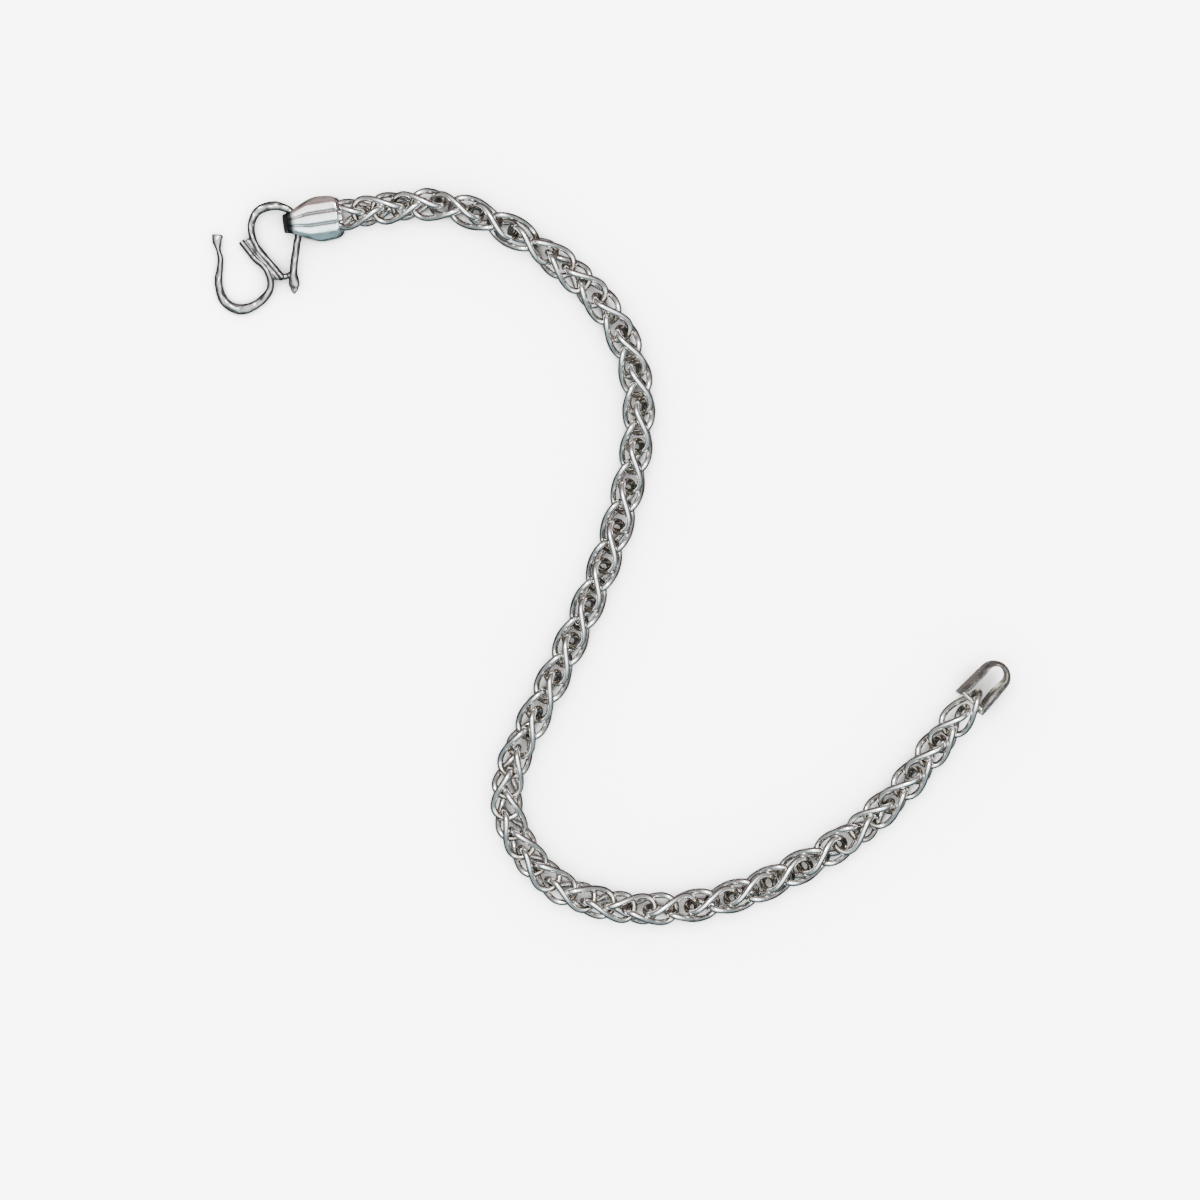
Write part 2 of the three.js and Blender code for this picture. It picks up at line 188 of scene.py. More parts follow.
CAP_SECTIONS = {  # part of the length, half width, dome
    "hook": [
        (0.0, 1.12, 0.06),
        (0.1, 1.2, 0.1),
        (0.22, 1.5, 0.2),
        (0.42, 2.25, 0.44),
        (0.6, 2.74, 0.62),
        (0.8, 2.7, 0.58),
        (0.9, 2.6, 0.52),
        (0.96, 2.38, 0.46),
        (1.0, 1.95, 0.34),
    ],
    "ring": [
        (0.0, 1.35, 0.3),
        (0.1, 1.6, 0.4),
        (0.22, 2.0, 0.52),
        (0.42, 2.5, 0.62),
        (0.6, 2.72, 0.64),
        (0.8, 2.66, 0.58),
        (0.9, 2.45, 0.5),
        (1.0, 1.9, 0.34),
    ],
}
CAP_REFLECTION_TINTS = {  # painted reflection: the silver's colour at one long edge and at the other, cyan and pink on the hook cap, olive greys on the ring cap
    "hook": ((0.76, 0.93, 0.96), (0.95, 0.84, 0.83)),
    "ring": ((0.74, 0.73, 0.66), (0.78, 0.74, 0.70)),
}
CAP_LOOKS = {  # darkness of the painted shade at the fold, roughness over the polish, colour of that painted shade
    "hook": (1.3, 0.02, (0.05, 0.05, 0.055)),
    "ring": (0.5, 0.1, None),
}
LOWER_WIRE = [  # x, y, width, thickness
    (-10.2, -1.46, 1.1, 0.42),
    (-10.22, -1.64, 1.56, 0.6),
    (-10.25, -2.4, 1.26, 0.66),
    (-10.05, -3.7, 0.64, 0.78),
    (-9.8, -5.0, 0.78, 0.88),
    (-10.1, -7.8, 1.08, 0.92),
    (-9.25, -10.3, 1.22, 0.84),
    (-7.1, -11.3, 1.42, 0.76),
    (-4.75, -10.4, 1.16, 0.84),
    (-3.25, -8.5, 1.0, 0.92),
    (-3.75, -6.1, 0.9, 0.94),
    (-5.25, -4.7, 0.87, 0.94),
    (-7.1, -2.35, 0.87, 0.94),
]
UPPER_WIRE = [  # x, y, width, thickness
    (-1.6, -7.15, 0.86, 0.9),
    (-3.95, -4.45, 0.86, 0.94),
    (-5.35, -2.55, 0.88, 0.94),
    (-5.75, -0.4, 1.0, 0.92),
    (-4.95, 1.5, 1.16, 0.82),
    (-3.0, 2.25, 1.28, 0.76),
    (-1.25, 1.92, 1.04, 0.86),
    (-0.45, 1.3, 0.94, 0.92),
    (0.0, 0.0, 0.92, 0.92),
    (0.45, -1.3, 0.94, 0.92),
    (0.2, -3.1, 1.02, 0.94),
    (-0.2, -6.2, 1.06, 0.94),
    (-0.1, -7.9, 1.5, 0.9),
    (-0.08, -8.7, 1.04, 0.64),
    (-0.08, -9.3, 0.34, 0.3),
]
STRIP_ENDS = ((-6.3, -2.15), (-2.2, -7.3))
STRIP_SECTION = (0.78, 0.66)  # width, thickness
SOLDER_SPOTS = [  # x, y, radius
    (-1.9, -7.05, 0.5),
    (-1.3, -7.0, 0.46),
    (-0.75, -6.85, 0.48),
    (-0.35, -6.6, 0.5),
    (-3.05, -7.2, 0.4),
    (-6.0, -2.5, 0.36),
]
HOOK_LEAN = math.radians(5.196)
HAMMER_WAVES = [  # height, radians per millimetre along x, y and z, phase
    (1.0, 1.9, 1.1, 0.0, 0.4),
    (1.0, -1.3, 2.3, 0.0, 2.0),
    (0.7, 4.1, 2.7, 3.0, 0.0),
    (0.7, -3.9, 5.3, 0.0, 0.0),
]
HAMMER_SHARE = 0.35  # of the depth, for a wave of height 1
# painted shade on the hook wire: its sides, found from each normal's upright part, are
# darkened
SIDE_STARTS = 0.95  # a normal's upright part, below which the wire's side begins
SIDE_SPAN = 0.6  # and how far below that it is all side
SIDE_POWER = 1.1
SHADE_ON_SIDES = 0.9
SHADE_AGAINST_X = 0.3  # more on the sides that face -X, less on those that face X
PATINA_IN_WAVES = 0.12
PATINA_EVERYWHERE = 0.05

# ---- the view, the surface and the light ---------------------------------------------

VIEW_CENTRE = (-1.44, -5.65)
VIEW_WIDTH = 157.2
CAMERA_HEIGHT = 900.0
SENSOR_WIDTH = 36.0
SURFACE_HALF = 2.0  # metres
LAMP_PLACE = (-0.1, 0.27, 0.85)  # metres
LAMP_SIZE = 0.2  # metres
LAMP_POWER = 4.5  # watts
COOL_SIDE = (0.74, 1.0, 1.06)
WARM_SIDE = (1.0, 0.83, 0.79)
ROOM_STOPS = [  # height from straight down to straight up, brightness
    (0.0, 0.05),
    (0.25, 0.02),
    (0.46, 0.004),
    (0.60, 0.012),
    (0.72, 0.09),
    (0.79, 0.05),
    (0.87, 0.10),
    (0.94, 0.6),
    (0.985, 1.0),
]


# ---- settings that a user would change -----------------------------------------------


class ChainSettings(bpy.types.PropertyGroup):
    wire: bpy.props.FloatProperty(
        name="Wire",
        description="Diameter of the link wire",
        default=0.84 * MM,
        min=0.3 * MM,
        max=1.2 * MM,
        subtype="DISTANCE",
        unit="LENGTH",
        precision=5,
    )
    half_width: bpy.props.FloatProperty(
        name="Half Width",
        description="From the chain's axis to the centre of a link's wire",
        default=1.79 * MM,
        subtype="DISTANCE",
        unit="LENGTH",
        precision=5,
    )
    overlap: bpy.props.FloatProperty(
        name="Hook Overlap",
        description="Between the wire centres of two links that hook together",
        default=1.4 * MM,
        subtype="DISTANCE",
        unit="LENGTH",
        precision=5,
    )
    bend_depth: bpy.props.FloatProperty(
        name="Bend Depth",
        description="Length of each rounded end of a link",
        default=2.0 * MM,
        subtype="DISTANCE",
        unit="LENGTH",
        precision=5,
    )
    sides: bpy.props.IntProperty(
        name="Wire Sides",
        description="Sides of the round wire",
        default=12,
        min=6,
        max=24,
    )
    play: bpy.props.FloatProperty(
        name="Play",
        description="How far a link may be turned from its even place",
        default=math.radians(2.2),
        subtype="ANGLE",
        unit="ROTATION",
    )
    seed: bpy.props.IntProperty(
        name="Seed", description="Seed of the links' play", default=7
    )


class CapSettings(bpy.types.PropertyGroup):
    sheet: bpy.props.FloatProperty(
        name="Sheet",
        description="Thickness of the folded sheet",
        default=0.4 * MM,
        subtype="DISTANCE",
        unit="LENGTH",
        precision=5,
    )
    flute: bpy.props.FloatProperty(
        name="Flute",
        description="Depth of the two flutes pressed along each leaf",
        default=0.17 * MM,
        subtype="DISTANCE",
        unit="LENGTH",
        precision=5,
    )
    rivet: bpy.props.FloatProperty(
        name="Rivet",
        description="Radius of the rivet through the last link",
        default=0.3 * MM,
        subtype="DISTANCE",
        unit="LENGTH",
        precision=5,
    )


class HookSettings(bpy.types.PropertyGroup):
    solder_grain: bpy.props.FloatProperty(
        name="Blend",
        description="Cell size that the soldered joints are blended at",
        default=0.075 * MM,
        subtype="DISTANCE",
        unit="LENGTH",
        precision=6,
    )
    hammering: bpy.props.FloatProperty(
        name="Hammering",
        description="How deep the uneven hammering of the wire goes",
        default=0.03 * MM,
        subtype="DISTANCE",
        unit="LENGTH",
        precision=6,
    )


class SilverSettings(bpy.types.PropertyGroup):
    metal: bpy.props.FloatVectorProperty(
        name="Silver",
        description="Colour of the polished silver",
        default=(0.93, 0.925, 0.91),
        size=3,
        min=0.0,
        max=1.0,
        subtype="COLOR",
    )
    # painted shade: the colour that the silver is darkened to inside the links and at
    # the ring cap's fold
    painted_shade_colour: bpy.props.FloatVectorProperty(
        name="Patina",
        description="Colour of the darkened silver inside the links",
        default=(0.36, 0.32, 0.27),
        size=3,
        min=0.0,
        max=1.0,
        subtype="COLOR",
    )
    roughness: bpy.props.FloatProperty(
        name="Roughness",
        description="Roughness of the polish",
        default=0.11,
        min=0.0,
        max=1.0,
        subtype="FACTOR",
    )


# ---- lines and places ----------------------------------------------------------------


def smoothstep(value, low, high):
    """0 up to low, 1 from high, and a smooth rise between."""
    t = min(max((value - low) / (high - low), 0.0), 1.0)
    return t * t * (3 - 2 * t)


def catmull(points, steps):
    """A uniform Catmull-Rom line through the points, its ends carried on straight."""
    points = np.asarray(points, float)
    ends = np.vstack([2 * points[0] - points[1], points, 2 * points[-1] - points[-2]])
    t = np.linspace(0, 1, steps, endpoint=False)[:, None]
    spans = []
    for a, b, c, d in zip(ends, ends[1:], ends[2:], ends[3:]):
        spans.append(
            0.5
            * (
                2 * b
                + (c - a) * t
                + (2 * a - 5 * b + 4 * c - d) * t**2
                + (3 * b - a - 3 * c + d) * t**3
            )
        )
    return np.vstack([*spans, points[-1:]])


class ChainAxis:
    """The line along the middle of the chain, in millimetres, by distance along it."""

    def __init__(self):
        route = [(x, y, LYING_HEIGHT + lift) for x, y, lift in ROUTE]
        self.points = catmull(route, ROUTE_STEPS)
        steps = np.linalg.norm(np.diff(self.points, axis=0), axis=1)
        self.along = np.concatenate([[0.0], np.cumsum(steps)])
        self.length = float(self.along[-1])
        self.pitch = (self.length - SOLID_HOOK_OVERLAP) / (LINKS_PER_STRAND + 0.5)

    def at(self, distance):
        """The place at that distance, carried on straight past either end."""
        inside = min(max(distance, 0.0), self.length)
        place = Vector([np.interp(inside, self.along, c) for c in self.points.T])
        if distance != inside:
            a, b = (0, 1) if distance < 0 else (-2, -1)
            place += Vector(self.points[b] - self.points[a]).normalized() * (
                distance - inside
            )
        return place

    def link_place(self, middle, length, extra_roll):
        """Place and turn of a rigid link of that length about that distance: Z is along
        the chain and X is where its first bend crosses the axis."""
        middle += np.interp(middle, *zip(*SLIDES))
        start = self.at(middle - length / 2)
        forward = (self.at(middle + length / 2) - start).normalized()
        up = Vector((0, 0, 1))
        up = (up - forward * up.dot(forward)).normalized()
        right = forward.cross(up)
        roll = math.radians(np.interp(middle, *zip(*ROLLS)) + extra_roll)
        turn = Matrix((up, right, forward)).transposed() @ Matrix.Rotation(roll, 3, "Z")
        return start + forward * (length / 2), turn


AXIS = ChainAxis()


def frame_shift():
    """From the route's own origin to the frame's origin, in millimetres, read from the
    hinge, which is at the eye of the hook end's cap."""
    eye = Vector(HINGE["pos_m"]) / MM
    return eye - cap_place("hook") @ Vector(EYE_IN_CAP)


# ---- mesh helpers --------------------------------------------------------------------


def mesh_object(name, vertices, faces):
    """A new object of those vertices and faces, in the scene."""
    mesh = bpy.data.meshes.new(name)
    mesh.from_pydata([tuple(v) for v in vertices], [], faces)
    mesh.update()
    thing = bpy.data.objects.new(name, mesh)
    bpy.context.scene.collection.objects.link(thing)
    return thing


def plain_mesh(thing):
    """Swaps the object's modifiers for the mesh that they make."""
    graph = bpy.context.evaluated_depsgraph_get()
    made = bpy.data.meshes.new_from_object(
        thing.evaluated_get(graph), preserve_all_data_layers=True, depsgraph=graph
    )
    old = thing.data
    thing.modifiers.clear()
    thing.data = made
    made.name = thing.name
    bpy.data.meshes.remove(old)
    return thing


def shade_smooth(thing):
    thing.data.polygons.foreach_set("use_smooth", [True] * len(thing.data.polygons))


def face_outwards(thing):
    """Joins doubled vertices and turns every face outwards."""
    mesh = bmesh.new()
    mesh.from_mesh(thing.data)
    bmesh.ops.remove_doubles(mesh, verts=mesh.verts, dist=1e-7)
    bmesh.ops.recalc_face_normals(mesh, faces=mesh.faces)
    mesh.to_mesh(thing.data)
    mesh.free()


def tube(rings):
    """Vertices and faces of a closed tube through rings of points, with flat ends."""
    sides = len(rings[0])
    vertices = [p for ring in rings for p in ring]
    faces = []
    for i in range(len(rings) - 1):
        for j in range(sides):
            k = (j + 1) % sides
            faces.append(
                (i * sides + j, i * sides + k, (i + 1) * sides + k, (i + 1) * sides + j)
            )
    faces.append(tuple(reversed(range(sides))))
    faces.append(tuple(range((len(rings) - 1) * sides, len(rings) * sides)))
    return vertices, faces


def grid_faces(rows, columns):
    """Faces of a sheet whose vertices stand in rows."""
    return [
        (
            i * columns + j,
            i * columns + j + 1,
            (i + 1) * columns + j + 1,
            (i + 1) * columns + j,
        )
        for i in range(rows - 1)
        for j in range(columns - 1)
    ]


def merge(parts):
    """Vertices and faces of several tubes as one list."""
    vertices, faces = [], []
    for part_vertices, part_faces in parts:
        start = len(vertices)
        vertices += part_vertices
        faces += [tuple(i + start for i in face) for face in part_faces]
    return vertices, faces


# ---- silver --------------------------------------------------------------------------


class Nodes:
    """Short way to add nodes to an empty tree."""

    def __init__(self, tree):
        self.tree = tree
        tree.nodes.clear()

    def link(self, source, target):
        self.tree.links.new(source, target)

    def add(self, kind, **settings):
        """A new node; a setting is an input's value, or else a property of the node."""
        node = self.tree.nodes.new(kind)
        for key, value in settings.items():
            if key in node.inputs.keys():
                node.inputs[key].default_value = value
            else:
                setattr(node, key, value)
        return node

    def scaled(self, value, factor, offset=0.0):
        """The output value * factor + offset."""
        node = self.add("ShaderNodeMath", operation="MULTIPLY_ADD")
        node.inputs[1].default_value = factor
        node.inputs[2].default_value = offset
        self.link(value, node.inputs[0])
        return node.outputs["Value"]

    def total(self, first, second, clamp=False):
        """The sum of two outputs."""
        node = self.add("ShaderNodeMath", operation="ADD", use_clamp=clamp)
        self.link(first, node.inputs[0])
        self.link(second, node.inputs[1])
        return node.outputs["Value"]

    def ramp(self, value, low, high, least=0.0, most=1.0, smooth=False):
        """The output value, taken from low..high to least..most."""
        node = self.add("ShaderNodeMapRange")
        node.interpolation_type = "SMOOTHSTEP" if smooth else "LINEAR"
        node.inputs["From Min"].default_value = low
        node.inputs["From Max"].default_value = high
        node.inputs["To Min"].default_value = least
        node.inputs["To Max"].default_value = most
        self.link(value, node.inputs["Value"])
        return node.outputs["Result"]

    def blend(self, factor, first, second, blend_type="MIX"):
        """A colour between two; each argument is an output, or else a fixed value."""
        node = self.add("ShaderNodeMix", data_type="RGBA", blend_type=blend_type)
        for name, value in (("Factor", factor), ("A", first), ("B", second)):
            if isinstance(value, bpy.types.NodeSocket):
                self.link(value, node.inputs[name])
            else:
                plain = value if name == "Factor" else (*value, 1)
                node.inputs[name].default_value = plain
        return node.outputs["Result"]


def silver_material(
    name,
    roughness_change=0.0,
    scratch=0.06,
    dent=0.0,
    shade=1.0,
    painted_shade_colour=None,
    reflection_tints=None,
):
    """Polished silver: painted shade darkens it where the 'hidden' attribute says,
    mottled by noise, finely scratched, with soft dents where it was hammered. Painted
    reflection tints run along the 'side' attribute."""
    look = bpy.context.scene.bracelet_silver
    material = bpy.data.materials.new(name)
    material.use_nodes = True
    nodes = Nodes(material.node_tree)
    output = nodes.add("ShaderNodeOutputMaterial")
    shader = nodes.add("ShaderNodeBsdfPrincipled", Metallic=1.0)
    nodes.link(shader.outputs["BSDF"], output.inputs["Surface"])
    place = nodes.add("ShaderNodeTexCoord").outputs["Object"]

    clouds = nodes.add("ShaderNodeTexNoise", Scale=900.0, Detail=5.0, Roughness=0.6)
    nodes.link(place, clouds.inputs["Vector"])
    fine = nodes.add("ShaderNodeTexNoise", Scale=5200.0, Detail=3.0, Roughness=0.55)
    nodes.link(place, fine.inputs["Vector"])

    # painted shade: the silver is darkened towards the painted shade colour where the
    # 'hidden' attribute says, mottled by the clouds' noise
    hidden = nodes.add("ShaderNodeAttribute", attribute_name="hidden").outputs["Fac"]
    spread = nodes.scaled(clouds.outputs["Fac"], factor=0.55, offset=-0.28)
    total = nodes.total(hidden, spread, clamp=True)
    dark = nodes.ramp(total, low=0.1, high=1.0, most=0.9, smooth=True)
    metal = [channel * shade for channel in look.metal]
    if reflection_tints:
        # painted reflection: two tints across the cap, from one long edge to the other
        side = nodes.add("ShaderNodeAttribute", attribute_name="side").outputs["Fac"]
        metal = nodes.blend(nodes.ramp(side, low=-0.9, high=0.9, smooth=True), *reflection_tints)
    colour = nodes.blend(dark, metal, painted_shade_colour or look.painted_shade_colour)
    nodes.link(colour, shader.inputs["Base Color"])

    base = look.roughness + roughness_change
    rough = nodes.ramp(
        clouds.outputs["Fac"],
        low=0.3,
        high=0.75,
        least=max(base - 0.05, 0.03),
        most=base + 0.12,
    )
    nodes.link(rough, shader.inputs["Roughness"])

    surface = nodes.add("ShaderNodeBump", Strength=scratch, Distance=0.04 * MM)
    nodes.link(fine.outputs["Fac"], surface.inputs["Height"])
    if dent > 0:
        blows = nodes.add("ShaderNodeTexVoronoi", Scale=950.0, feature="SMOOTH_F1")
        nodes.link(place, blows.inputs["Vector"])
        dents = nodes.add("ShaderNodeBump", Strength=dent, Distance=0.25 * MM)
        nodes.link(blows.outputs["Distance"], dents.inputs["Height"])
        nodes.link(surface.outputs["Normal"], dents.inputs["Normal"])
        surface = dents
    nodes.link(surface.outputs["Normal"], shader.inputs["Normal"])
    return material


# ---- chain ---------------------------------------------------------------------------


def link_line(hand, length):
    """Centre line of one link's wire in metres, about its middle: Z along the chain,
    the first bend along X, and a quarter turn to the far bend. A hand of 1 or -1 says
    which way it turns."""
    chain = bpy.context.scene.bracelet_chain
    radius, depth = chain.half_width, chain.bend_depth
    untwisted = 0.1 * MM
    bend_steps, leg_steps = 18, 8
    roundness = 2 / 2.2
    outline = []
    for side in (1, -1):
        for i in range(leg_steps):
            run = depth + (length - 2 * depth) * i / leg_steps
            outline.append((side * radius, run if side > 0 else length - run))
        for i in range(bend_steps):
            angle = math.pi * i / bend_steps
            across = math.copysign(abs(math.cos(angle)) ** roundness, math.cos(angle))
            out = depth * math.sin(angle) ** roundness
            run = length - depth + out if side > 0 else depth - out
            outline.append((side * radius * across, run))
    points = []
    for across, run in outline:
        angle = hand * smoothstep(run, untwisted, length - untwisted) * math.pi / 2
        points.append(
            (across * math.cos(angle), across * math.sin(angle), run - length / 2)
        )
    return points


def link_curve(name, hand, length):
    """The centre line of one link as a closed curve."""
    curve = bpy.data.curves.new(name, "CURVE")
    curve.dimensions = "3D"
    points = link_line(hand, length)
    spline = curve.splines.new("POLY")
    spline.points.add(len(points) - 1)
    spline.points.foreach_set("co", [c for p in points for c in (*p, 1.0)])
    spline.use_cyclic_u = True
    thing = bpy.data.objects.new(name, curve)
    bpy.context.scene.collection.objects.link(thing)
    return thing


def chain_tree():
    """Sweeps a round wire along a link's line and sets a link at every point, turned
    as the point's 'facing' attribute says and by a little random play."""
    tree = bpy.data.node_groups.new("Chain of Links", "GeometryNodeTree")
    tree.is_modifier = True
    for name, kind in (
        ("Geometry", "NodeSocketGeometry"),
        ("Link Line", "NodeSocketObject"),
        ("Wire Diameter", "NodeSocketFloat"),
        ("Wire Sides", "NodeSocketInt"),
        ("Half Width", "NodeSocketFloat"),
        ("Play", "NodeSocketFloat"),
        ("Seed", "NodeSocketInt"),
        ("Silver", "NodeSocketMaterial"),
    ):
        tree.interface.new_socket(name, in_out="INPUT", socket_type=kind)
    tree.interface.new_socket(
        "Geometry", in_out="OUTPUT", socket_type="NodeSocketGeometry"
    )
    nodes = Nodes(tree)
    add, link = nodes.add, nodes.link

    given = add("NodeGroupInput").outputs
    radius = add("ShaderNodeMath", operation="MULTIPLY")
    radius.inputs[1].default_value = 0.5
    link(given["Wire Diameter"], radius.inputs[0])
    profile = add("GeometryNodeCurvePrimitiveCircle", mode="RADIUS")
    link(given["Wire Sides"], profile.inputs["Resolution"])
    link(radius.outputs[0], profile.inputs["Radius"])
    line = add("GeometryNodeObjectInfo", transform_space="ORIGINAL")
    link(given["Link Line"], line.inputs["Object"])
    sweep = add("GeometryNodeCurveToMesh")
    link(line.outputs["Geometry"], sweep.inputs["Curve"])
    link(profile.outputs["Curve"], sweep.inputs["Profile Curve"])

    # painted shade: how far a spot of the wire is turned in towards the chain's axis,
    # from 0 to 1, which darkens it
    spot = add("GeometryNodeInputPosition")
    flat = add("ShaderNodeVectorMath", operation="MULTIPLY")
    flat.inputs[1].default_value = (1, 1, 0)
    link(spot.outputs["Position"], flat.inputs[0])
    away = add("ShaderNodeVectorMath", operation="LENGTH")
    link(flat.outputs["Vector"], away.inputs[0])
    inner = add("ShaderNodeMath", operation="SUBTRACT")
    link(given["Half Width"], inner.inputs[0])
    link(given["Wire Diameter"], inner.inputs[1])
    hidden = add("ShaderNodeMapRange", interpolation_type="SMOOTHSTEP")
    link(away.outputs["Value"], hidden.inputs["Value"])
    link(inner.outputs[0], hidden.inputs["From Min"])
    link(given["Half Width"], hidden.inputs["From Max"])
    hidden.inputs["To Min"].default_value = 1.0
    hidden.inputs["To Max"].default_value = 0.0
    store = add("GeometryNodeStoreNamedAttribute", data_type="FLOAT", domain="POINT")
    store.inputs["Name"].default_value = "hidden"
    link(sweep.outputs["Mesh"], store.inputs["Geometry"])
    link(hidden.outputs["Result"], store.inputs["Value"])

    facing = add("GeometryNodeInputNamedAttribute", data_type="FLOAT_VECTOR")
    facing.inputs["Name"].default_value = "facing"
    turn = add("FunctionNodeEulerToRotation")
    link(facing.outputs["Attribute"], turn.inputs["Euler"])
    place = add("GeometryNodeInstanceOnPoints")
    link(given["Geometry"], place.inputs["Points"])
    link(store.outputs["Geometry"], place.inputs["Instance"])
    link(turn.outputs["Rotation"], place.inputs["Rotation"])

    least = add("ShaderNodeMath", operation="MULTIPLY")
    least.inputs[1].default_value = -1.0
    link(given["Play"], least.inputs[0])
    chance = add("FunctionNodeRandomValue", data_type="FLOAT_VECTOR")
    link(least.outputs[0], chance.inputs["Min"])
    link(given["Play"], chance.inputs["Max"])
    link(given["Seed"], chance.inputs["Seed"])
    nudge = add("GeometryNodeRotateInstances")
    link(place.outputs["Instances"], nudge.inputs["Instances"])
    link(chance.outputs["Value"], nudge.inputs["Rotation"])

    real = add("GeometryNodeRealizeInstances")
    link(nudge.outputs["Instances"], real.inputs["Geometry"])
    smooth = add("GeometryNodeSetShadeSmooth")
    link(real.outputs["Geometry"], smooth.inputs["Geometry"])
    finish = add("GeometryNodeSetMaterial")
    link(smooth.outputs["Geometry"], finish.inputs["Geometry"])
    link(given["Silver"], finish.inputs["Material"])
    link(finish.outputs["Geometry"], add("NodeGroupOutput").inputs["Geometry"])
    return tree


def set_inputs(modifier, values):
    """Sets Geometry Nodes inputs, given by name, by their sockets' identifiers."""
    for item in modifier.node_group.interface.items_tree:
        if item.in_out == "INPUT" and item.name in values:
            modifier[item.identifier] = values[item.name]


def build_strand(name, hand, first, extra_roll, tree, material, shift, seed):
    """One strand of fine links; first is where its first link's middle is, in mm."""
    chain = bpy.context.scene.bracelet_chain
    length = AXIS.pitch * MM + chain.overlap
    places = [
        AXIS.link_place(first + k * AXIS.pitch, length / MM, extra_roll)
        for k in range(LINKS_PER_STRAND)
    ]
    points = bpy.data.meshes.new(name)
    points.from_pydata([tuple((p + shift) * MM) for p, _ in places], [], [])
    facing = points.attributes.new("facing", "FLOAT_VECTOR", "POINT")
    facing.data.foreach_set("vector", [a for _, t in places for a in t.to_euler("XYZ")])
    strand = bpy.data.objects.new(name, points)
    bpy.context.scene.collection.objects.link(strand)
    line = link_curve(name + "_line", hand, length)
    modifier = strand.modifiers.new("Links", "NODES")
    modifier.node_group = tree
    set_inputs(
        modifier,
        {
            "Link Line": line,
            "Wire Diameter": chain.wire,
            "Wire Sides": chain.sides,
            "Half Width": chain.half_width,
            "Play": chain.play,
            "Seed": seed,
            "Silver": material,
        },
    )
    plain_mesh(strand)
    bpy.data.objects.remove(line)
    return strand


class BRACELET_OT_chain(bpy.types.Operator):
    """Build both strands of the spiga chain"""

    bl_idname = "bracelet.chain"
    bl_label = "Chain"

    def execute(self, context):
        tree = chain_tree()
        shift = frame_shift()
        seed = context.scene.bracelet_chain.seed
        middle = (AXIS.pitch + SOLID_HOOK_OVERLAP) / 2
        for name, hand, first, extra_roll in (
            ("strand_a", -1, middle + AXIS.pitch / 2, STRAND_A_ROLL),
            ("strand_b", 1, middle, 0),
        ):
            material = silver_material(name.replace("_", " ").title() + " Silver")
            strand = build_strand(
                name + "_links", hand, first, extra_roll, tree, material, shift, seed
            )
            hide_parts(name)
            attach(strand, "bracelet")
            seed += 1
        return {"FINISHED"}


# ---- end caps ------------------------------------------------------------------------


def fold_centre():
    """Distance from the outside of the fold to its centre."""
    return FOLD_RADIUS + HALF_SHEET


def cap_slope(which):
    """Angle between the cap's axis and each leaf."""
    run, rise = CAP_LENGTH[which] - fold_centre(), MOUTH_HALF_HEIGHT[which]
    return math.atan2(rise, run) - math.asin(FOLD_RADIUS / math.hypot(rise, run))


def cap_place(which):
    """Matrix from a cap's own frame to the route's, in mm. X runs from the fold to the
    mouth, and Z is up."""
    if which == "hook":
        start = AXIS.at(0)
        heading, pitch, roll = HOOK_CAP_HEADING, -cap_slope(which), 0.0
        height = fold_centre() * (1 - math.sin(cap_slope(which)))
    else:
        start = AXIS.at(AXIS.length)
        heading, pitch, roll = RING_CAP_HEADING, 0.0, RING_CAP_ROLL
        height = start.z + RING_CAP_LIFT
    reach = FOLD_FROM_CHAIN[which]
    place = Matrix.Translation(
        (
            start.x + reach * math.cos(heading),
            start.y + reach * math.sin(heading),
            height,
        )
    )
    return (
        place
        @ Matrix.Rotation(heading + math.pi, 4, "Z")
        @ Matrix.Rotation(pitch, 4, "Y")
        @ Matrix.Rotation(roll, 4, "X")
    )


def curl_place(width):
    """Where the edge of a leaf starts to curl, in mm from its middle."""
    return min(CURL_FROM_MIDDLE, CURL_FURTHEST * width)


def leaf_columns(width):
    """Places across half the sheet, in mm: even ones up to the curl, then along it."""
    curl = curl_place(width)
    flat = [curl * i / FLAT_COLUMNS for i in range(FLAT_COLUMNS + 1)]
    curled = [
        curl + (width - curl) * i / CURL_COLUMNS for i in range(1, CURL_COLUMNS + 1)
    ]
    return flat + curled


def leaf_drop(across, width, dome, flute):
    """How far the sheet lies below its middle: a flute on each side of a raised middle
    band, then an edge that curls down."""
    a = abs(across)
    curl = curl_place(width)
    reach = (a - FLUTE_FROM_MIDDLE * curl) / (FLUTE_HALF_WIDTH * curl)
    hollow = math.cos(math.pi / 2 * reach) ** 2 if abs(reach) < 1 else 0.0
    rounded = DOME_BEFORE_CURL * min(a / curl, 1.0) ** 2
    edge = max(a - curl, 0.0) / (width - curl)
    curled = (1 - DOME_BEFORE_CURL) * edge**CURL_POWER
    return dome * (rounded + curled) + flute * hollow


